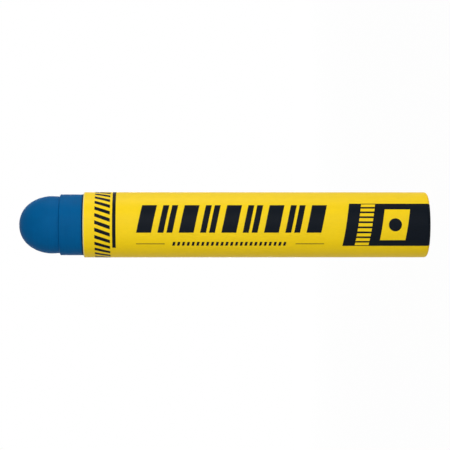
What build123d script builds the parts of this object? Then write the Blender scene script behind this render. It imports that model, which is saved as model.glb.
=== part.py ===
from build123d import *
import os

# Oil paint stick: one cast stick of solid paint in a rolled paper sleeve.
# Z runs along the stick. Z = 0 is the turned-in rear end of the sleeve, on which the stick
# stands with its domed tip up, and the origin is the middle of that end. All sizes are in mm.

# Paint stick
stick_diameter = 17.9
dome_diameter = 16.9
dome_height = 9.6
dome_side_fullness = 0.4
dome_tip_fullness = 0.72
neck_diameter = 16.7
neck_length = 2.25
shoulder_height = 0.35
shoulder_edge_radius = 0.15
bare_length = 6.8
rear_edge_relief = 0.2

# Paper sleeve
sleeve_length = 101.0
sleeve_wall = 0.6
fit_clearance = 0.05
mouth_edge_radius = 0.3
rear_corner_radius = 0.9
lip_opening_diameter = 14.0

# Free edge of the rolled sheet, down the back of the sleeve: how far it stands off the turn
# below, and how much tighter than the wall it is curled
lap_step = 0.12
lap_curl = 0.5

# Pleats that gather the paper where the rear end is turned in
pleat_count = 30
pleat_length = 1.2
pleat_width = 0.4
pleat_depth = 0.15

# Sizes that follow from those above
stick_radius = stick_diameter / 2
dome_radius = dome_diameter / 2
bore_radius = stick_radius + fit_clearance
sleeve_radius = bore_radius + sleeve_wall
lip_opening_radius = lip_opening_diameter / 2
inner_corner_radius = rear_corner_radius - sleeve_wall

# Heights, from the rear end up to the tip
stick_rear = sleeve_wall
mouth = sleeve_length
shoulder_foot = mouth + bare_length
neck_foot = shoulder_foot + shoulder_height
dome_foot = neck_foot + neck_length
tip = dome_foot + dome_height

os.makedirs("parts", exist_ok=True)

# Paint stick: the domed tip, a waisted neck, a sloping shoulder and the full-width body
with BuildPart() as paint_stick:
    with BuildSketch(Plane.XZ) as stick_profile:
        with BuildLine():
            # The dome rises upright from the neck and crosses the axis level, a little blunt
            Bezier(
                (dome_radius, dome_foot),
                (dome_radius, dome_foot + dome_side_fullness * dome_height),
                (dome_tip_fullness * dome_radius, tip),
                (0, tip),
            )
            Polyline(
                (dome_radius, dome_foot),
                (neck_diameter / 2, neck_foot),
                (stick_radius, shoulder_foot),
                (stick_radius, stick_rear),
                (0, stick_rear),
                (0, tip),
            )
        make_face()
        rear_edge = stick_profile.vertices().sort_by_distance((stick_radius, stick_rear))[0]
        fillet(rear_edge, inner_corner_radius + rear_edge_relief)
        shoulder_edge = stick_profile.vertices().sort_by_distance((stick_radius, shoulder_foot))[0]
        fillet(shoulder_edge, shoulder_edge_radius)
    revolve(axis=Axis.Z)

paint_stick.part.label = "paint_stick"
export_step(paint_stick.part, "parts/paint_stick.step")

# Sleeve: a paper wall round the stick, turned in at the rear to a lip that the stick sits on
with BuildPart() as sleeve:
    with BuildSketch(Plane.XZ) as wall_profile:
        with BuildLine():
            Polyline(
                (lip_opening_radius, 0),
                (sleeve_radius, 0),
                (sleeve_radius, mouth),
                (bore_radius, mouth),
                (bore_radius, stick_rear),
                (lip_opening_radius, stick_rear),
                close=True,
            )
        make_face()
        rear_corner = wall_profile.vertices().sort_by_distance((sleeve_radius, 0))[0]
        fillet(rear_corner, rear_corner_radius)
        inner_corner = wall_profile.vertices().sort_by_distance((bore_radius, stick_rear))[0]
        fillet(inner_corner, inner_corner_radius)
        mouth_edge = wall_profile.vertices().sort_by_distance((sleeve_radius, mouth))[0]
        fillet(mouth_edge, mouth_edge_radius)
    revolve(axis=Axis.Z)

    # The sheet's outer turn rises slowly off the turn below and ends in a step at the back
    with BuildSketch(Plane.XY.offset(rear_corner_radius)):
        with Locations((0, lap_step + lap_curl)):
            Circle(sleeve_radius - lap_curl)
        Circle(bore_radius + sleeve_wall / 2, mode=Mode.SUBTRACT)
        quarter = sleeve_radius + lap_step
        Rectangle(quarter, quarter, align=Align.MIN, mode=Mode.INTERSECT)
    extrude(amount=mouth - mouth_edge_radius - rear_corner_radius)

    # Wedge-shaped pleats in the underside of the lip, open towards its middle
    with BuildSketch():
        with PolarLocations(lip_opening_radius, pleat_count):
            Polygon(
                (-pleat_width, -pleat_width / 2),
                (0, -pleat_width / 2),
                (pleat_length, 0),
                (0, pleat_width / 2),
                (-pleat_width, pleat_width / 2),
                align=None,
            )
    extrude(amount=pleat_depth, mode=Mode.SUBTRACT)

sleeve.part.label = "sleeve"
export_step(sleeve.part, "parts/sleeve.step")
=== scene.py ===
import math

import bmesh
import bpy
from bpy.props import FloatProperty, FloatVectorProperty, IntProperty, PointerProperty
from mathutils import Matrix, Vector


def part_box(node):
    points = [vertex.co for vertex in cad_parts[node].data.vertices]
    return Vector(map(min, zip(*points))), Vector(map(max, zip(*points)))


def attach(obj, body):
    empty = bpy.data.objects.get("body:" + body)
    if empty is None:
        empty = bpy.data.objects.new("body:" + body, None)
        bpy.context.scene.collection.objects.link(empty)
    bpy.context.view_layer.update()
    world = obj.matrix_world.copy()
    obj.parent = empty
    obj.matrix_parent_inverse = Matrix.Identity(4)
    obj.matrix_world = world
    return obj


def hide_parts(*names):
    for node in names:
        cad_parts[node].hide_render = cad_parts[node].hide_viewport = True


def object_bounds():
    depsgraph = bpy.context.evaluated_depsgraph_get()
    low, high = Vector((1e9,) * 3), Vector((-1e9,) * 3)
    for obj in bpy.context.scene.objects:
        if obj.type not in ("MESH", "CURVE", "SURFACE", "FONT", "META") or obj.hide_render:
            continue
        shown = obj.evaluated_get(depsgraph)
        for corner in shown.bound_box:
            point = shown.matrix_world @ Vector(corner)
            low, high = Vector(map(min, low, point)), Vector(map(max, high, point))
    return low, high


bl_info = {
    "name": "Oil Stick Maker",
    "version": (1, 0, 0),
    "blender": (4, 5, 0),
    "location": "View3D > Sidebar > Oil Stick",
    "description": "Makes a stick of solid oil paint with a domed tip, in a printed paper sleeve",
    "category": "Add Mesh",
}

# The frame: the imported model, in metres, standing on its rear end with the tip up
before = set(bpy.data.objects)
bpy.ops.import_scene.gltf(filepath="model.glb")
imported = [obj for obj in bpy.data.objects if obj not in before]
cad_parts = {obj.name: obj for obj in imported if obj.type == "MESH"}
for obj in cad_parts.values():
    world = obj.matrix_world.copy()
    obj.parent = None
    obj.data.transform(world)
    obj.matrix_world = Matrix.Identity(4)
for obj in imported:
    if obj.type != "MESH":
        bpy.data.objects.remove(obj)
CAD_LOW, CAD_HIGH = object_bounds()
STICK_LOW, STICK_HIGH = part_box("paint_stick")
SLEEVE_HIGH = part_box("sleeve")[1]

MM = 0.001
BODY = "root"

# How finely the turned pieces and the printed marks are divided
COLUMNS = 360
CORNER_STEPS = 6
DOME_STEPS = 40
LONGEST_SPAN = 2.5 * MM
EDGE_SPAN = 0.1 * MM
COLUMN_WIDTH = 0.17 * MM
PANEL_ROWS = 160
DOT_RINGS = 8
DOT_COLUMNS = 72

# Edges that turn by more than this stay sharp
SHARP_ANGLE = math.radians(40)

# Noise values from low to high fill a range, and those beyond them stay at its ends
NOISE_LOW = 0.3
NOISE_HIGH = 0.7


def length(name, description, default):
    """A size in metres that the sidebar shows in the scene's own unit."""
    return FloatProperty(
        name=name, description=description, default=default, unit="LENGTH", precision=5
    )


def colour(name, description, default):
    """A plain colour, in linear values."""
    return FloatVectorProperty(
        name=name, description=description, default=default, subtype="COLOR", min=0, max=1
    )


class StickSizes(bpy.types.PropertyGroup):
    """Sizes of the cast stick of paint"""

    radius: length("Radius", "Radius of the full-width body", (STICK_HIGH.x - STICK_LOW.x) / 2)
    rear: length("Rear", "Height of the rear face, which sits on the sleeve's lip", STICK_LOW.z)
    tip: length("Tip", "Height of the domed tip", STICK_HIGH.z)
    dome_radius: length("Dome radius", "Radius at the foot of the dome", 8.45 * MM)
    dome_height: length("Dome height", "Height of the dome", 9.6 * MM)
    neck_radius: length("Neck radius", "Radius at the foot of the neck", 8.35 * MM)
    neck_length: length("Neck length", "Height of the neck under the dome", 2.25 * MM)
    shoulder_height: length("Shoulder", "Height of the slope from the body to the neck", 0.35 * MM)
    rear_edge: length("Rear edge", "Rounding of the rear edge", 0.5 * MM)
    shoulder_edge: length("Shoulder edge", "Rounding of the shoulder's outer edge", 0.15 * MM)
    neck_corner: length("Neck corner", "Rounding where the shoulder meets the neck", 0.05 * MM)
    side_fullness: FloatProperty(
        name="Side fullness", description="How far up the dome stays upright", default=0.4
    )
    tip_fullness: FloatProperty(
        name="Tip fullness", description="How far out the tip stays level", default=0.72
    )
    unevenness: length("Unevenness", "How far the cast surface wanders", 0.02 * MM)


class SleeveSizes(bpy.types.PropertyGroup):
    """Sizes of the rolled paper sleeve"""

    radius: length("Radius", "Outer radius of the wall", SLEEVE_HIGH.x)
    mouth: length("Mouth", "Height of the cut edge round the paint", SLEEVE_HIGH.z)
    wall: length("Wall", "Thickness of the rolled wall", 0.6 * MM)
    opening_radius: length("Opening", "Radius of the opening in the rear lip", 7.0 * MM)
    rear_corner: length("Rear corner", "Rounding where the rear end is turned in", 0.9 * MM)
    mouth_edge: length("Mouth edge", "Rounding of the mouth's outer edge", 0.3 * MM)
    cut_edge: length("Cut edge", "Rounding of the other cut edges", 0.06 * MM)
    lap_step: length("Lap step", "Height of the sheet's free edge", SLEEVE_HIGH.y - SLEEVE_HIGH.x)
    lap_curl: length("Lap curl", "How much tighter than the wall the free edge is curled", 0.5 * MM)
    lap_bevel: length("Lap bevel", "Width of the raw cut along the sheet's free edge", 0.1 * MM)
    pleat_length: length("Pleat length", "Reach of each pleat from the opening", 1.2 * MM)
    pleat_width: length("Pleat width", "Width of each pleat at the opening", 0.4 * MM)
    pleat_depth: length("Pleat depth", "Depth of each pleat", 0.15 * MM)
    pleat_count: IntProperty(
        name="Pleats", description="Pleats round the rear lip", default=30, min=3
    )


class PrintSizes(bpy.types.PropertyGroup):
    """Sizes of the printed marks"""

    lift: length("Lift", "How far the ink stands above the paper", 0.02 * MM)
    sink: length("Sink", "How far a mark reaches into the paper", 0.03 * MM)
    hatch_height: length("Ring height", "Height of the hatched ring's middle", 95.35 * MM)
    hatch_length: length("Ring length", "Length of the ring's bars", 4.5 * MM)
    hatch_count: IntProperty(name="Ring bars", description="Bars in the hatched ring", default=27)
    hatch_slant: FloatProperty(
        name="Ring slant", description="Lean of the ring's bars", default=0.36
    )
    band_height: length("Band height", "Height of the narrow band's middle", 91.95 * MM)
    band_length: length("Band length", "Length of the narrow band along the stick", 1.0 * MM)
    band_start: FloatProperty(
        name="Band start", description="Start of the band, in turns from the front", default=-0.122
    )
    band_end: FloatProperty(
        name="Band end", description="End of the band, in turns from the front", default=0.47
    )
    block_height: length("Block height", "Height of the first block's middle", 82.5 * MM)
    block_length: length("Block length", "Length of a block along the stick", 4.3 * MM)
    block_pitch: length("Block pitch", "Distance from block to block", 6.17 * MM)
    block_rise: length("Block rise", "Size of a block round the sleeve", 8.4 * MM)
    block_middle: length("Block middle", "How far round the sleeve the blocks lie", 1.89 * MM)
    block_slant: FloatProperty(name="Block slant", description="Lean of the blocks", default=-0.21)
    block_count: IntProperty(name="Blocks", description="Blocks in the middle row", default=9)
    slit_length: length("Slit length", "Length of the slit in every other block", 0.85 * MM)
    rule_middle: length("Rule middle", "How far round the sleeve the thin rules lie", -5.88 * MM)
    rule_height: length("Rule height", "Height of the first rule's middle", 81.4 * MM)
    rule_pitch: length("Rule pitch", "Distance from rule to rule", 46.3 * MM)
    rule_length: length("Rule length", "Length of each thin rule", 8.3 * MM)
    rule_width: length("Rule width", "Width of each thin rule", 0.3 * MM)
    tick_height: length("Tick height", "Height of the first tick's middle", 74.6 * MM)
    tick_length: length("Tick length", "Length of a tick along the stick", 0.72 * MM)
    tick_pitch: length("Tick pitch", "Distance from tick to tick", 1.4 * MM)
    tick_rise: length("Tick rise", "Size of a tick round the sleeve", 1.35 * MM)
    tick_count: IntProperty(name="Ticks", description="Ticks between the two rules", default=24)
    panel_top: length("Panel top", "Height of the dark panel's upper end", 24.6 * MM)
    panel_rear: length("Panel rear", "Where the panel ends, past the rear corner", -4.0 * MM)
    panel_rise: length("Panel rise", "Size of the dark panel round the sleeve", 13.3 * MM)
    panel_slant: FloatProperty(
        name="Panel slant", description="Lean of the panel's end", default=-0.15
    )
    rung_height: length("Ladder height", "Height of the ladder's middle", 19.05 * MM)
    rung_length: length("Rung length", "Length of a rung along the stick", 4.05 * MM)
    rung_rise: length("Rung rise", "Size of a rung round the sleeve", 0.92 * MM)
    rung_count: IntProperty(name="Rungs", description="Rungs of the ladder on the panel", default=9)
    tile_height: length("Tile height", "Height of the tile's middle", 10.35 * MM)
    tile_length: length("Tile length", "Length of the tile along the stick", 7.4 * MM)
    tile_rise: length("Tile rise", "Size of the tile round the sleeve", 9.25 * MM)
    dot_radius: length("Dot radius", "Radius of the dot on the tile", 1.9 * MM)


class StickColours(bpy.types.PropertyGroup):
    """Colours of the paint, the paper and the inks"""

    paint: colour("Paint", "The cast paint", (0.0008, 0.101, 0.285))
    paper: colour("Paper", "The printed yellow of the sleeve", (0.955, 0.663, 0.003))
    board: colour("Board", "The unprinted cut edge of the paper", (0.88, 0.78, 0.38))
    ink: colour("Ink", "The dark marks", (0.0015, 0.0040, 0.0085))
    olive: colour("Olive", "The two thin rules", (0.28, 0.17, 0.008))


def smooth_step(low, high, value):
    """0 below low, 1 above high and a soft ramp between them."""
    share = min(max((value - low) / (high - low), 0.0), 1.0)
    return share * share * (3 - 2 * share)


def rounded_outline(corners, closed):
    """A bent line with its corners rounded, as (radius, height, finish) points.

    Each corner is (radius, height, rounding, finish of the stretch that follows it).
    """
    points = []
    count = len(corners)
    for i, (radius, height, rounding, finish) in enumerate(corners):
        here = Vector((radius, height))
        if rounding == 0 or (not closed and i in (0, count - 1)):
            points.append((radius, height, finish))
            continue
        before = corners[i - 1]
        after = corners[(i + 1) % count]
        towards_before = (Vector(before[:2]) - here).normalized()
        towards_after = (Vector(after[:2]) - here).normalized()
        half_angle = towards_before.angle(towards_after) / 2
        middle = (towards_before + towards_after).normalized()
        centre = here + middle * (rounding / math.sin(half_angle))
        reach = rounding / math.tan(half_angle)
        start = here + towards_before * reach - centre
        turn = start.angle_signed(here + towards_after * reach - centre)
        for step in range(CORNER_STEPS + 1):
            point = centre + Matrix.Rotation(-turn * step / CORNER_STEPS, 2) @ start
            last = step == CORNER_STEPS
            points.append((point.x, point.y, finish if last else before[3]))
    return points


def filled_outline(points, closed, longest):
    """The same line with long stretches divided, and a short stretch beside each of their ends."""
    filled = []
    stretches = len(points) if closed else len(points) - 1
    for i in range(stretches):
        radius, height, finish = points[i]
        filled.append((radius, height, finish))
        here = Vector((radius, height))
        run = Vector(points[(i + 1) % len(points)][:2]) - here
        if run.length < 4 * EDGE_SPAN:
            continue
        parts = max(1, math.ceil(run.length / longest))
        shares = [EDGE_SPAN / run.length]
        shares += [part / parts for part in range(1, parts)]
        shares.append(1 - EDGE_SPAN / run.length)
        for share in shares:
            point = here + run * share
            filled.append((point.x, point.y, finish))
    if not closed:
        filled.append(points[-1])
    return filled


def turned_mesh(name, outline, angles, closed, shape):
    """Turns an outline about the Z axis.

    shape gives a point's new radius and height from its radius, height and angle.
    """
    bm = bmesh.new()
    rings = []
    for radius, height, _ in outline:
        if radius == 0:
            rings.append([bm.verts.new((0, 0, height))])
            continue
        ring = []
        for angle in angles:
            out, up = shape(radius, height, angle)
            ring.append(bm.verts.new((out * math.cos(angle), out * math.sin(angle), up)))
        rings.append(ring)
    stretches = len(rings) if closed else len(rings) - 1
    for i in range(stretches):
        lower, upper = rings[i], rings[(i + 1) % len(rings)]
        for j in range(len(angles)):
            k = (j + 1) % len(angles)
            if len(lower) == 1:
                corners = (lower[0], upper[k], upper[j])
            elif len(upper) == 1:
                corners = (lower[j], lower[k], upper[0])
            else:
                corners = (lower[j], lower[k], upper[k], upper[j])
            bm.faces.new(corners).material_index = outline[i][2]
    bmesh.ops.recalc_face_normals(bm, faces=bm.faces)
    mesh = bpy.data.meshes.new(name)
    bm.to_mesh(mesh)
    bm.free()
    return mesh


def add_piece(name, mesh, materials):
    """Puts a finished mesh in the scene as a piece of the object."""
    piece = bpy.data.objects.new(name, mesh)
    bpy.context.scene.collection.objects.link(piece)
    for material in materials:
        mesh.materials.append(material)
    mesh.polygons.foreach_set("use_smooth", [True] * len(mesh.polygons))
    mesh.set_sharp_from_angle(angle=SHARP_ANGLE)
    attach(piece, BODY)
    return piece


# Materials

def add_node(tree, kind, inputs=None, **settings):
    """Adds a node, sets its plain values and links what is given as another node's socket."""
    node = tree.nodes.new(kind)
    for key, value in settings.items():
        setattr(node, key, value)
    for key, value in (inputs or {}).items():
        if isinstance(value, bpy.types.NodeSocket):
            tree.links.new(value, node.inputs[key])
        else:
            node.inputs[key].default_value = value
    return node


def calculated(tree, operation, *values):
    """The result of a math node on plain values or other nodes' sockets."""
    inputs = dict(enumerate(values))
    return add_node(tree, "ShaderNodeMath", inputs, operation=operation).outputs[0]


def vector_result(tree, operation, inputs):
    """The vector that a vector math node gives."""
    return add_node(tree, "ShaderNodeVectorMath", inputs, operation=operation).outputs["Vector"]


def new_material(name):
    """A material with an empty surface shader, its node tree and that shader."""
    material = bpy.data.materials.new(name)
    material.use_nodes = True
    tree = material.node_tree
    surface = tree.nodes["Principled BSDF"]
    return material, tree, surface


def millimetre_coordinates(tree, stretch=(1, 1, 1)):
    """Object coordinates counted in millimetres, squeezed by stretch."""
    place = add_node(tree, "ShaderNodeTexCoord")
    scale = [share / MM for share in stretch]
    return add_node(
        tree, "ShaderNodeMapping", {"Vector": place.outputs["Object"], "Scale": scale}
    ).outputs["Vector"]


def noise(tree, place, scale, detail=3.0, roughness=0.5):
    """A noise value around 0.5, with scale in waves per millimetre."""
    return add_node(
        tree,
        "ShaderNodeTexNoise",
        {"Vector": place, "Scale": scale, "Detail": detail, "Roughness": roughness},
    ).outputs["Fac"]


def ranged(tree, value, low, high):
    """A noise value spread between low and high."""
    return add_node(
        tree,
        "ShaderNodeMapRange",
        {
            "Value": value,
            "From Min": NOISE_LOW,
            "From Max": NOISE_HIGH,
            "To Min": low,
            "To Max": high,
        },
    ).outputs["Result"]


def mottled(tree, value, plain, spread):
    """The plain colour made darker and lighter by a noise value, by spread either way."""
    factor = ranged(tree, value, 1 - spread, 1 + spread)
    return vector_result(tree, "MULTIPLY", {0: plain, 1: factor})


def bumped(tree, heights):
    """A chain of bumps, from (height socket, distance in millimetres, strength) entries."""
    normal = None
    for height, distance, strength in heights:
        inputs = {"Height": height, "Distance": distance * MM, "Strength": strength}
        if normal:
            inputs["Normal"] = normal
        normal = add_node(tree, "ShaderNodeBump", inputs).outputs["Normal"]
    return normal


def paint_material(plain, mouth):
    """Cast oil paint: waxy, a little cloudy, with faint drag lines round the stick.

    The paint is darkened in a narrow ring where it comes out of the mouth, a painted shade standing
    for the shadow of the sleeve's edge.
    """
    material, tree, surface = new_material("cast_paint")
    place = millimetre_coordinates(tree)
    round_the_stick = (0.12, 0.12, 4.0)
    drag_place = millimetre_coordinates(tree, stretch=round_the_stick)
    clouds = noise(tree, place, 0.28, detail=4.0)
    grain = noise(tree, place, 6.0, detail=2.0)
    drag = noise(tree, drag_place, 1.0)
    height = add_node(tree, "ShaderNodeSeparateXYZ", {0: place}).outputs["Z"]
    above_mouth = calculated(tree, "SUBTRACT", height, mouth / MM)
    from_mouth = calculated(tree, "ABSOLUTE", above_mouth)
    # Millimetres from the mouth up to which the painted shade is darkest, and from which the paint
    # is unshaded
    darkest_to, unshaded_from = 0.22, 0.55
    darkest = 0.08
    # Painted shade: the colour is darkened in a ring at the mouth, in place of the shadow of the
    # sleeve's edge
    painted_shade_factor = add_node(
        tree,
        "ShaderNodeMapRange",
        {
            "Value": from_mouth,
            "From Min": darkest_to,
            "From Max": unshaded_from,
            "To Min": darkest,
        },
        interpolation_type="SMOOTHSTEP",
    ).outputs["Result"]
    cloudy = mottled(tree, clouds, plain, 0.05)
    dragged = mottled(tree, drag, cloudy, 0.03)
    # The painted shade of the mouth ring darkens the paint's colour here
    mouth_shaded = vector_result(tree, "MULTIPLY", {0: dragged, 1: painted_shade_factor})
    tree.links.new(mouth_shaded, surface.inputs["Base Color"])
    tree.links.new(ranged(tree, clouds, 0.46, 0.56), surface.inputs["Roughness"])
    normal = bumped(tree, [(clouds, 0.2, 0.4), (drag, 0.05, 0.7), (grain, 0.03, 0.8)])
    tree.links.new(normal, surface.inputs["Normal"])
    surface.inputs["Specular IOR Level"].default_value = 0.03
    surface.inputs["Subsurface Weight"].default_value = 0.06
    surface.inputs["Subsurface Radius"].default_value = (0.3, 0.5, 1.0)
    surface.inputs["Subsurface Scale"].default_value = 0.4 * MM
    return material


def paper_material(name, plain, spread, roughness, gloss):
    """Printed paper: a fibre grain along the stick under a soft sheen of ink.

    spread is how far the colour wanders, and gloss is the strength of the sheen.
    """
    material, tree, surface = new_material(name)
    place = millimetre_coordinates(tree)
    along_the_stick = (1.0, 1.0, 0.22)
    fibre_place = millimetre_coordinates(tree, stretch=along_the_stick)
    formation = noise(tree, place, 0.5, detail=5.0, roughness=0.6)
    fibres = noise(tree, fibre_place, 5.0, detail=3.0)
    flecks = noise(tree, fibre_place, 2.4, detail=2.0)
    cloudy = mottled(tree, formation, plain, spread)
    tree.links.new(mottled(tree, flecks, cloudy, spread), surface.inputs["Base Color"])
    tree.links.new(
        ranged(tree, fibres, roughness - 0.03, roughness + 0.04), surface.inputs["Roughness"]
    )
    normal = bumped(tree, [(formation, 0.08, 0.5), (flecks, 0.03, 0.6), (fibres, 0.03, 0.8)])
    tree.links.new(normal, surface.inputs["Normal"])
    surface.inputs["Specular IOR Level"].default_value = gloss
    return material


def board_material(plain, wall):
    """Raw cut paper: the rolled plies show as fine rings across the wall."""
    material, tree, surface = new_material("raw_board")
    place = millimetre_coordinates(tree)
    flat = vector_result(tree, "MULTIPLY", {0: place, 1: (1, 1, 0)})
    radius = add_node(
        tree, "ShaderNodeVectorMath", {0: flat}, operation="LENGTH"
    ).outputs["Value"]
    plies = 4
    turns = calculated(tree, "MULTIPLY", radius, plies / (wall / MM))
    ply = calculated(tree, "PINGPONG", turns, 1.0)
    fibres = noise(tree, place, 8.0, detail=4.0)
    tint = calculated(tree, "MULTIPLY", ply, fibres)
    tree.links.new(mottled(tree, tint, plain, 0.10), surface.inputs["Base Color"])
    tree.links.new(
        bumped(tree, [(ply, 0.03, 0.5), (fibres, 0.02, 0.7)]), surface.inputs["Normal"]
    )
    surface.inputs["Roughness"].default_value = 0.85
    surface.inputs["IOR"].default_value = 1.45
    return material


# Cast stick

def dome_points(sizes):
    """Points up the dome, on a curve that leaves the neck upright and crosses the axis level."""
    foot = sizes.tip - sizes.dome_height
    handles = (
        Vector((sizes.dome_radius, foot)),
        Vector((sizes.dome_radius, foot + sizes.side_fullness * sizes.dome_height)),
        Vector((sizes.tip_fullness * sizes.dome_radius, sizes.tip)),
        Vector((0, sizes.tip)),
    )
    points = []
    for step in range(DOME_STEPS):
        t = step / DOME_STEPS
        weights = ((1 - t) ** 3, 3 * (1 - t) ** 2 * t, 3 * (1 - t) * t * t, t**3)
        point = sum((handle * weight for handle, weight in zip(handles, weights)), Vector((0, 0)))
        points.append((point.x, point.y, 0))
    return points + [(0, sizes.tip, 0)]


class OIL_STICK_OT_stick(bpy.types.Operator):
    """Make the cast stick of paint: body, sloping shoulder, neck and dome"""

    bl_idname = "oil_stick.stick"
    bl_label = "Make Stick"

    def execute(self, context):
        sizes = context.scene.oil_stick_sizes
        mouth = context.scene.oil_sleeve_sizes.mouth
        neck_foot = sizes.tip - sizes.dome_height - sizes.neck_length
        shoulder_foot = neck_foot - sizes.shoulder_height
        dome = dome_points(sizes)
        below = rounded_outline(
            [
                (0, sizes.rear, 0, 0),
                (sizes.radius, sizes.rear, sizes.rear_edge, 0),
                (sizes.radius, shoulder_foot, sizes.shoulder_edge, 0),
                (sizes.neck_radius, neck_foot, sizes.neck_corner, 0),
                dome[0] + (0,),
            ],
            closed=False,
        )
        outline = filled_outline(below, False, LONGEST_SPAN)[:-1] + dome

        # The bare surface is true up to the first height and uneven from the second
        true_to, uneven_from = mouth + 0.5 * MM, mouth + 1.5 * MM
        slow_waves, quick_waves = 2, 5
        slow_start, quick_start = 1.1, 0.7
        slow_rise, quick_rise = 4.1 * MM, 2.3 * MM
        slow_share, quick_share = 0.6, 0.4
        calm_radius = 3 * MM

        def cast(radius, height, angle):
            """Lets the bare surface sink a little here and there, as a casting does.

            A slow wave and a quick one wind up the stick, and both fade out at the tip.
            """
            bare = smooth_step(true_to, uneven_from, height)
            slow = math.sin(slow_waves * angle + slow_start + height / slow_rise)
            quick = math.sin(quick_waves * angle - quick_start - height / quick_rise)
            wave = slow_share * slow + quick_share * quick - 1
            wander = sizes.unevenness * bare * wave / 2
            return radius + wander * min(1, radius / calm_radius), height

        angles = [2 * math.pi * i / COLUMNS for i in range(COLUMNS)]
        mesh = turned_mesh("paint_body", outline, angles, False, cast)
        material = paint_material(context.scene.oil_stick_colours.paint, mouth)
        piece = add_piece("paint_body", mesh, [material])
        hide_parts("paint_stick")
        return {"FINISHED"}


# Rolled sleeve

def lap_rise(sizes, angle):
    """How far the sheet's outer turn stands off the wall, up to its free edge at the back."""
    from_edge = math.pi / 2 - angle
    if not 0 <= from_edge < math.pi / 2:
        return 0.0
    offset = sizes.lap_step + sizes.lap_curl
    curl_radius = sizes.radius - sizes.lap_curl
    across = offset * math.sin(from_edge)
    reach = offset * math.cos(from_edge) + math.sqrt(curl_radius**2 - across**2)
    return max(0.0, reach - sizes.radius)


def pleat_cut(sizes, radius, angle):
    """Depth of the pleats in the underside of the lip, at a radius and an angle."""
    past_opening = (radius - sizes.opening_radius) / sizes.pleat_length
    half_width = sizes.pleat_width / 2 * (1 - past_opening)
    if half_width <= 0:
        return 0.0
    pitch = 2 * math.pi / sizes.pleat_count
    from_middle = abs((angle + pitch / 2) % pitch - pitch / 2) * radius
    return sizes.pleat_depth * max(0.0, 1 - from_middle / half_width) * (1 - past_opening)


class OIL_STICK_OT_sleeve(bpy.types.Operator):
    """Make the rolled paper sleeve: wall, cut mouth, lap down the back and pleated rear lip"""

    bl_idname = "oil_stick.sleeve"
    bl_label = "Make Sleeve"

    def execute(self, context):
        sizes = context.scene.oil_sleeve_sizes
        colours = context.scene.oil_stick_colours
        bore = sizes.radius - sizes.wall
        printed, raw = 0, 1
        outline = rounded_outline(
            [
                (sizes.opening_radius, 0, sizes.cut_edge, printed),
                (sizes.radius, 0, sizes.rear_corner, printed),
                (sizes.radius, sizes.mouth - sizes.mouth_edge, 0, raw),
                (sizes.radius, sizes.mouth, sizes.mouth_edge, raw),
                (bore, sizes.mouth, sizes.cut_edge, raw),
                (bore, sizes.wall, sizes.rear_corner - sizes.wall, raw),
                (sizes.opening_radius, sizes.wall, sizes.cut_edge, raw),
            ],
            closed=True,
        )
        outline = filled_outline(outline, True, LONGEST_SPAN)

        def rolled(radius, height, angle):
            """Adds the lap to the outer wall and presses the pleats into the lip."""
            if radius > bore + sizes.wall / 2 and height > 0:
                above_corner = smooth_step(sizes.rear_corner / 3, sizes.rear_corner, height)
                radius += lap_rise(sizes, angle) * above_corner
            if height < sizes.wall / 2 and radius < sizes.radius - sizes.rear_corner:
                height += pleat_cut(sizes, radius, angle)
            return radius, height

        angles = [2 * math.pi * i / COLUMNS for i in range(COLUMNS)]
        lap = math.pi / 2
        past_lap = lap + sizes.lap_bevel / sizes.radius
        angles = sorted(angles + [past_lap])
        mesh = turned_mesh("paper_sleeve", outline, angles, True, rolled)
        for face in mesh.polygons:
            angle = math.atan2(face.center.y, face.center.x)
            if lap < angle < past_lap and face.center.z > sizes.rear_corner:
                face.material_index = raw
        materials = [
            paper_material("printed_paper", colours.paper, spread=0.015, roughness=0.5, gloss=0.17),
            board_material(colours.board, sizes.wall),
        ]
        piece = add_piece("paper_sleeve", mesh, materials)
        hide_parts("sleeve")
        return {"FINISHED"}


# Printed marks

# How far above the paper a mark starts, before it is dropped to the nearest point of it
DROP_HEIGHT = 0.5 * MM


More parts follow.
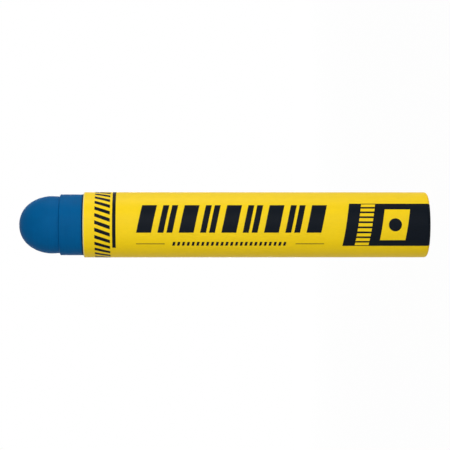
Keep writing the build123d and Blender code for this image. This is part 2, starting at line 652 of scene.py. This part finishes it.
def new_marks_tree():
    """Geometry Nodes that lay flat marks on the sleeve.

    Flat marks lie in the sheet's own plane: X is the way round the sleeve from the middle of
    the front, Y is the height along the stick and Z is the height of the ink. Slant leans a
    mark's ends along the stick and Twist leans its sides round it. The mark, repeated by Count
    and Step, is added to the flat marks that come in.
    """
    tree = bpy.data.node_groups.new("marks_on_sleeve", "GeometryNodeTree")
    sockets = tree.interface
    sockets.new_socket("Geometry", in_out="INPUT", socket_type="NodeSocketGeometry")
    for name, kind in (
        ("Count", "NodeSocketInt"),
        ("Start", "NodeSocketVector"),
        ("Step", "NodeSocketVector"),
        ("Mark Size", "NodeSocketVector"),
        ("Slant", "NodeSocketFloat"),
        ("Twist", "NodeSocketFloat"),
        ("Columns", "NodeSocketInt"),
        ("Rows", "NodeSocketInt"),
        ("Sleeve", "NodeSocketObject"),
        ("Sleeve Radius", "NodeSocketFloat"),
        ("Ink", "NodeSocketMaterial"),
    ):
        sockets.new_socket(name, in_out="INPUT", socket_type=kind)
    sockets.new_socket("Geometry", in_out="OUTPUT", socket_type="NodeSocketGeometry")

    given = add_node(tree, "NodeGroupInput").outputs
    # One mark, slanted, at each point of a line
    mark = add_node(
        tree,
        "GeometryNodeMeshCube",
        {
            "Size": given["Mark Size"],
            "Vertices X": given["Columns"],
            "Vertices Y": given["Rows"],
            "Vertices Z": 2,
        },
    )
    position = add_node(tree, "GeometryNodeInputPosition").outputs[0]
    place = add_node(tree, "ShaderNodeSeparateXYZ", {0: position}).outputs
    lean = calculated(tree, "MULTIPLY", place["X"], given["Slant"])
    shift = calculated(tree, "MULTIPLY", place["Y"], given["Twist"])
    offset = add_node(tree, "ShaderNodeCombineXYZ", {"X": shift, "Y": lean}).outputs[0]
    slanted = add_node(
        tree, "GeometryNodeSetPosition", {"Geometry": mark.outputs["Mesh"], "Offset": offset}
    )
    row = add_node(
        tree,
        "GeometryNodeMeshLine",
        {"Count": given["Count"], "Start Location": given["Start"], "Offset": given["Step"]},
        mode="OFFSET",
    )
    repeated = add_node(
        tree,
        "GeometryNodeInstanceOnPoints",
        {"Points": row.outputs["Mesh"], "Instance": slanted.outputs["Geometry"]},
    )
    flat = add_node(tree, "GeometryNodeJoinGeometry")
    tree.links.new(given["Geometry"], flat.inputs[0])
    tree.links.new(repeated.outputs["Instances"], flat.inputs[0])
    real = add_node(tree, "GeometryNodeRealizeInstances", {"Geometry": flat.outputs[0]})

    # Round the sleeve: a point well clear of the paper, then the nearest paper below it
    flat_position = add_node(tree, "GeometryNodeInputPosition").outputs[0]
    spot = add_node(tree, "ShaderNodeSeparateXYZ", {0: flat_position}).outputs
    angle = calculated(tree, "DIVIDE", spot["X"], given["Sleeve Radius"])
    clear_radius = calculated(tree, "ADD", given["Sleeve Radius"], DROP_HEIGHT)
    across = calculated(tree, "MULTIPLY", clear_radius, calculated(tree, "SINE", angle))
    behind = calculated(tree, "MULTIPLY", clear_radius, calculated(tree, "COSINE", angle))
    in_front = calculated(tree, "MULTIPLY", behind, -1.0)
    clear = add_node(
        tree, "ShaderNodeCombineXYZ", {"X": across, "Y": in_front, "Z": spot["Y"]}
    ).outputs[0]
    sleeve = add_node(tree, "GeometryNodeObjectInfo", {"Object": given["Sleeve"]})
    nearest = add_node(
        tree,
        "GeometryNodeProximity",
        {0: sleeve.outputs["Geometry"], "Sample Position": clear},
        target_element="FACES",
    )
    paper_spot = nearest.outputs["Position"]
    drop = vector_result(tree, "SUBTRACT", {0: clear, 1: paper_spot})
    outwards = vector_result(tree, "NORMALIZE", {0: drop})
    height = vector_result(tree, "SCALE", {0: outwards, "Scale": spot["Z"]})
    resting = vector_result(tree, "ADD", {0: paper_spot, 1: height})
    laid = add_node(
        tree, "GeometryNodeSetPosition", {"Geometry": real.outputs[0], "Position": resting}
    )
    inked = add_node(
        tree, "GeometryNodeSetMaterial", {"Geometry": laid.outputs[0], "Material": given["Ink"]}
    )
    add_node(tree, "NodeGroupOutput", {"Geometry": inked.outputs[0]})
    return tree


def lay_marks(tree, name, ink, settings, flat=None):
    """Runs the marks' nodes on the sleeve and keeps the result as a plain piece."""
    base = flat or bpy.data.meshes.new(name)
    holder = bpy.data.objects.new(name + "_flat", base)
    bpy.context.scene.collection.objects.link(holder)
    modifier = holder.modifiers.new("marks", "NODES")
    modifier.node_group = tree
    identifiers = {
        item.name: item.identifier
        for item in tree.interface.items_tree
        if item.item_type == "SOCKET" and item.in_out == "INPUT"
    }
    shared = {
        "Sleeve": bpy.data.objects["paper_sleeve"],
        "Sleeve Radius": bpy.context.scene.oil_sleeve_sizes.radius,
        "Ink": ink,
    }
    for key, value in {"Count": 0, **settings, **shared}.items():
        modifier[identifiers[key]] = value
    depsgraph = bpy.context.evaluated_depsgraph_get()
    mesh = bpy.data.meshes.new_from_object(holder.evaluated_get(depsgraph), depsgraph=depsgraph)
    mesh.name = name
    bpy.data.objects.remove(holder)
    return add_piece(name, mesh, [])


def flat_slab(name, corners, columns, rows, bottom, top):
    """A closed flat slab between four corners (round, along), divided so that it can bend.

    The corners go low round low along, high round low along, high round high along and
    low round high along.
    """
    bm = bmesh.new()
    low_low, high_low, high_high, low_high = (Vector(corner) for corner in corners)
    layers = []
    for height in (bottom, top):
        layer = []
        for i in range(columns + 1):
            near = low_low.lerp(high_low, i / columns)
            far = low_high.lerp(high_high, i / columns)
            line = [near.lerp(far, j / rows) for j in range(rows + 1)]
            layer.append([bm.verts.new((point.x, point.y, height)) for point in line])
        layers.append(layer)
    for layer in layers:
        for i in range(columns):
            for j in range(rows):
                bm.faces.new((layer[i][j], layer[i + 1][j], layer[i + 1][j + 1], layer[i][j + 1]))
    edge = [(i, 0) for i in range(columns)] + [(columns, j) for j in range(rows)]
    edge += [(i, rows) for i in range(columns, 0, -1)] + [(0, j) for j in range(rows, 0, -1)]
    for (i, j), (k, m) in zip(edge, edge[1:] + edge[:1]):
        bm.faces.new((layers[0][i][j], layers[0][k][m], layers[1][k][m], layers[1][i][j]))
    bmesh.ops.recalc_face_normals(bm, faces=bm.faces)
    mesh = bpy.data.meshes.new(name)
    bm.to_mesh(mesh)
    bm.free()
    return mesh


def flat_disc(name, middle, radius, bottom, top):
    """A closed flat disc in rings, so that it can bend, with its middle at (round, along)."""
    shares = [ring / DOT_RINGS for ring in range(DOT_RINGS + 1)]
    outline = [(radius * share, bottom, 0) for share in shares]
    outline += [(radius * share, top, 0) for share in reversed(shares)]
    angles = [2 * math.pi * i / DOT_COLUMNS for i in range(DOT_COLUMNS)]
    mesh = turned_mesh(name, outline, angles, False, lambda out, height, angle: (out, height))
    mesh.transform(Matrix.Translation((*middle, 0)))
    return mesh


class OIL_STICK_OT_print(bpy.types.Operator):
    """Print the sleeve: hatched ring, slanted blocks, rules and ticks, and the dark panel"""

    bl_idname = "oil_stick.print"
    bl_label = "Print Sleeve"

    def execute(self, context):
        sizes = context.scene.oil_print_sizes
        sleeve = context.scene.oil_sleeve_sizes
        colours = context.scene.oil_stick_colours
        tree = new_marks_tree()
        ink = paper_material("dark_ink", colours.ink, spread=0.06, roughness=0.45, gloss=0.07)
        olive = paper_material("olive_ink", colours.olive, spread=0.03, roughness=0.5, gloss=0.15)
        paper = bpy.data.materials["printed_paper"]
        round_sleeve = 2 * math.pi * sleeve.radius

        def row(name, ink, start, step, size, count, slant=0.0, twist=0.0, layer=1):
            """A row of like marks: start, step and size are (round, along)."""
            top = sizes.lift * layer
            settings = {
                "Count": count,
                "Start": (*start, (top - sizes.sink) / 2),
                "Step": (*step, 0.0),
                "Mark Size": (*size, top + sizes.sink),
                "Slant": slant,
                "Twist": twist,
                "Columns": max(2, math.ceil(size[0] / COLUMN_WIDTH) + 1),
                "Rows": math.ceil(abs(twist) * size[1] / COLUMN_WIDTH) + 2,
            }
            return lay_marks(tree, name, ink, settings)

        # Ring of slanted bars by the mouth, one short at the lap, and the narrow band beside it
        pitch = round_sleeve / (sizes.hatch_count + 1)
        row(
            "hatched_ring",
            ink,
            start=((1 - sizes.hatch_count) / 2 * pitch, sizes.hatch_height),
            step=(pitch, 0),
            size=(pitch / 2, sizes.hatch_length),
            count=sizes.hatch_count,
            twist=sizes.hatch_slant,
        )
        band_low = sizes.band_start * round_sleeve
        band_high = sizes.band_end * round_sleeve
        row(
            "narrow_band",
            ink,
            start=((band_low + band_high) / 2, sizes.band_height),
            step=(0, 0),
            size=(band_high - band_low, sizes.band_length),
            count=1,
        )

        # Row of slanted blocks, and the rules and ticks below it
        row(
            "block_row",
            ink,
            start=(sizes.block_middle, sizes.block_height),
            step=(0, -sizes.block_pitch),
            size=(sizes.block_rise, sizes.block_length),
            count=sizes.block_count,
            slant=sizes.block_slant,
        )
        row(
            "block_slits",
            paper,
            start=(sizes.block_middle, sizes.block_height - sizes.block_pitch),
            step=(0, -2 * sizes.block_pitch),
            size=(sizes.block_rise, sizes.slit_length),
            count=sizes.block_count // 2,
            slant=sizes.block_slant,
            layer=2,
        )
        row(
            "tick_row",
            ink,
            start=(sizes.rule_middle, sizes.tick_height),
            step=(0, -sizes.tick_pitch),
            size=(sizes.tick_rise, sizes.tick_length),
            count=sizes.tick_count,
            slant=sizes.block_slant,
        )
        row(
            "thin_rules",
            olive,
            start=(sizes.rule_middle, sizes.rule_height),
            step=(0, -sizes.rule_pitch),
            size=(sizes.rule_width, sizes.rule_length),
            count=2,
        )

        # Dark panel at the rear, with a ladder of slanted rungs and a tile with a round dot
        half_rise = sizes.panel_rise / 2
        lean = sizes.panel_slant * half_rise
        panel = flat_slab(
            "dark_panel",
            (
                (-half_rise, sizes.panel_rear),
                (half_rise, sizes.panel_rear),
                (half_rise, sizes.panel_top + lean),
                (-half_rise, sizes.panel_top - lean),
            ),
            columns=math.ceil(sizes.panel_rise / COLUMN_WIDTH),
            rows=PANEL_ROWS,
            bottom=-sizes.sink,
            top=sizes.lift,
        )
        lay_marks(tree, "dark_panel", ink, {}, flat=panel)
        rung_pitch = sizes.panel_rise / sizes.rung_count
        first_rung = (rung_pitch - sizes.panel_rise) / 2
        row(
            "ladder_rungs",
            paper,
            start=(first_rung, sizes.rung_height + sizes.panel_slant * first_rung),
            step=(rung_pitch, sizes.panel_slant * rung_pitch),
            size=(sizes.rung_rise, sizes.rung_length),
            count=sizes.rung_count,
            slant=sizes.panel_slant,
            layer=2,
        )
        row(
            "yellow_tile",
            paper,
            start=(0, sizes.tile_height),
            step=(0, 0),
            size=(sizes.tile_rise, sizes.tile_length),
            count=1,
            slant=sizes.panel_slant,
            layer=2,
        )
        dot = flat_disc(
            "round_dot",
            (0, sizes.tile_height),
            sizes.dot_radius,
            bottom=-sizes.sink,
            top=3 * sizes.lift,
        )
        lay_marks(tree, "round_dot", ink, {}, flat=dot)
        return {"FINISHED"}


# Stage

MIDDLE = Vector((0, 0, (CAD_LOW.z + CAD_HIGH.z) / 2))

# The floor lies just below the rear lip, so that no face of one is in a face of the other
FLOOR_HEIGHT = -0.05 * MM
FLOOR_HALF = 0.6
FLOOR_GLOW = 0.975

# How far from the middle of the stick the lamps stand, and how far above it
LAMP_REACH = 0.65
LAMP_RISE = 0.06

# Strength of the dim light from all round
WORLD_LIGHT = 0.25


class OIL_STICK_OT_stage(bpy.types.Operator):
    """Set up the pale floor, the soft lights, the world and the camera"""

    bl_idname = "oil_stick.stage"
    bl_label = "Set Stage"

    def execute(self, context):
        add_floor()
        add_world()
        add_soft_light("front_light", turn=20, size=0.45, power=2.5)
        add_soft_light("fill_light", turn=-30, size=0.45, power=1.05)
        add_soft_light("side_light", turn=95, size=0.2, power=1.2)
        add_soft_light("back_light", turn=180, size=0.3, power=1.9)
        add_camera()
        return {"FINISHED"}


def white_to_camera(tree, dim, white):
    """Mixes a white shader in for the camera, gloss and glass, over the shader that lights."""
    path = add_node(tree, "ShaderNodeLightPath").outputs
    seen = calculated(tree, "MAXIMUM", path["Is Camera Ray"], path["Is Glossy Ray"])
    seen = calculated(tree, "MAXIMUM", seen, path["Is Transmission Ray"])
    return add_node(tree, "ShaderNodeMixShader", {0: seen, 1: dim, 2: white}).outputs[0]


def add_floor():
    """A plain white floor just under the stick, with only a faint shadow."""
    mesh = bpy.data.meshes.new("floor")
    signs = ((-1, -1), (1, -1), (1, 1), (-1, 1))
    corners = [(x * FLOOR_HALF, y * FLOOR_HALF, FLOOR_HEIGHT) for x, y in signs]
    mesh.from_pydata(corners, [], [(0, 1, 2, 3)])
    floor = bpy.data.objects.new("floor", mesh)
    bpy.context.scene.collection.objects.link(floor)
    material = bpy.data.materials.new("white_floor")
    material.use_nodes = True
    tree = material.node_tree
    tree.nodes.clear()
    plain = add_node(tree, "ShaderNodeBsdfDiffuse", {"Color": (0.9, 0.9, 0.9, 1)})
    glow = add_node(tree, "ShaderNodeEmission", {"Color": (1, 1, 1, 1), "Strength": 1.0})
    shadowed = add_node(
        tree, "ShaderNodeMixShader", {0: FLOOR_GLOW, 1: plain.outputs[0], 2: glow.outputs[0]}
    )
    surface = white_to_camera(tree, plain.outputs[0], shadowed.outputs[0])
    add_node(tree, "ShaderNodeOutputMaterial", {"Surface": surface})
    mesh.materials.append(material)


def add_world():
    """White behind the object, and a plain dim light from all round."""
    world = bpy.data.worlds.new("studio")
    bpy.context.scene.world = world
    world.use_nodes = True
    tree = world.node_tree
    tree.nodes.clear()
    dim = add_node(
        tree, "ShaderNodeBackground", {"Color": (1, 1, 1, 1), "Strength": WORLD_LIGHT}
    )
    white = add_node(tree, "ShaderNodeBackground", {"Color": (1, 1, 1, 1), "Strength": 1.0})
    surface = white_to_camera(tree, dim.outputs[0], white.outputs[0])
    add_node(tree, "ShaderNodeOutputWorld", {"Surface": surface})


def add_soft_light(name, turn, size, power):
    """A square soft light turned towards the object, so many degrees round from its front."""
    angle = math.radians(turn)
    offset = Vector((LAMP_REACH * math.sin(angle), -LAMP_REACH * math.cos(angle), LAMP_RISE))
    light = bpy.data.lights.new(name, "AREA")
    light.size = size
    light.energy = power
    lamp = bpy.data.objects.new(name, light)
    lamp.visible_camera = False
    lamp.location = MIDDLE + offset
    lamp.rotation_euler = (-offset).to_track_quat("-Z", "Y").to_euler()
    bpy.context.scene.collection.objects.link(lamp)


def add_camera():
    """A long lens in front of the stick, rolled so that the tip points to the left."""
    distance = 0.53
    elevation = math.radians(1.5)
    seen_width = 0.1326
    aim = Vector((-0.00006, 0, 0.05955))
    data = bpy.data.cameras.new("camera")
    data.sensor_width = 36
    data.lens = data.sensor_width * distance / seen_width
    camera = bpy.data.objects.new("camera", data)
    back = Vector((0, -math.cos(elevation), math.sin(elevation)))
    up = Vector((1, 0, 0))
    right = up.cross(back)
    turned = Matrix((right, up, back)).transposed().to_4x4()
    camera.matrix_world = Matrix.Translation(aim + back * distance) @ turned
    bpy.context.scene.collection.objects.link(camera)
    bpy.context.scene.camera = camera
    bpy.context.scene.view_settings.view_transform = "Standard"


class OIL_STICK_PT_sidebar(bpy.types.Panel):
    """Sizes, colours and steps of the oil stick"""

    bl_idname = "OIL_STICK_PT_sidebar"
    bl_label = "Oil Stick"
    bl_space_type = "VIEW_3D"
    bl_region_type = "UI"
    bl_category = "Oil Stick"

    def draw(self, context):
        for operator in OPERATORS:
            self.layout.operator(operator.bl_idname)
        for group_name in GROUPS:
            group = getattr(context.scene, group_name)
            box = self.layout.box()
            for key in group.bl_rna.properties.keys():
                if key not in ("rna_type", "name"):
                    box.prop(group, key)


OPERATORS = (OIL_STICK_OT_stick, OIL_STICK_OT_sleeve, OIL_STICK_OT_print, OIL_STICK_OT_stage)
GROUPS = {
    "oil_stick_sizes": StickSizes,
    "oil_sleeve_sizes": SleeveSizes,
    "oil_print_sizes": PrintSizes,
    "oil_stick_colours": StickColours,
}


def register():
    for name, group in GROUPS.items():
        bpy.utils.register_class(group)
        setattr(bpy.types.Scene, name, PointerProperty(type=group))
    for operator in OPERATORS:
        bpy.utils.register_class(operator)
    bpy.utils.register_class(OIL_STICK_PT_sidebar)


def unregister():
    bpy.utils.unregister_class(OIL_STICK_PT_sidebar)
    for operator in reversed(OPERATORS):
        bpy.utils.unregister_class(operator)
    for name, group in GROUPS.items():
        delattr(bpy.types.Scene, name)
        bpy.utils.unregister_class(group)


def main():
    """Makes every piece and the stage."""
    register()
    bpy.ops.oil_stick.stick()
    bpy.ops.oil_stick.sleeve()
    bpy.ops.oil_stick.print()
    bpy.ops.oil_stick.stage()


if __name__ == "__main__":
    main()
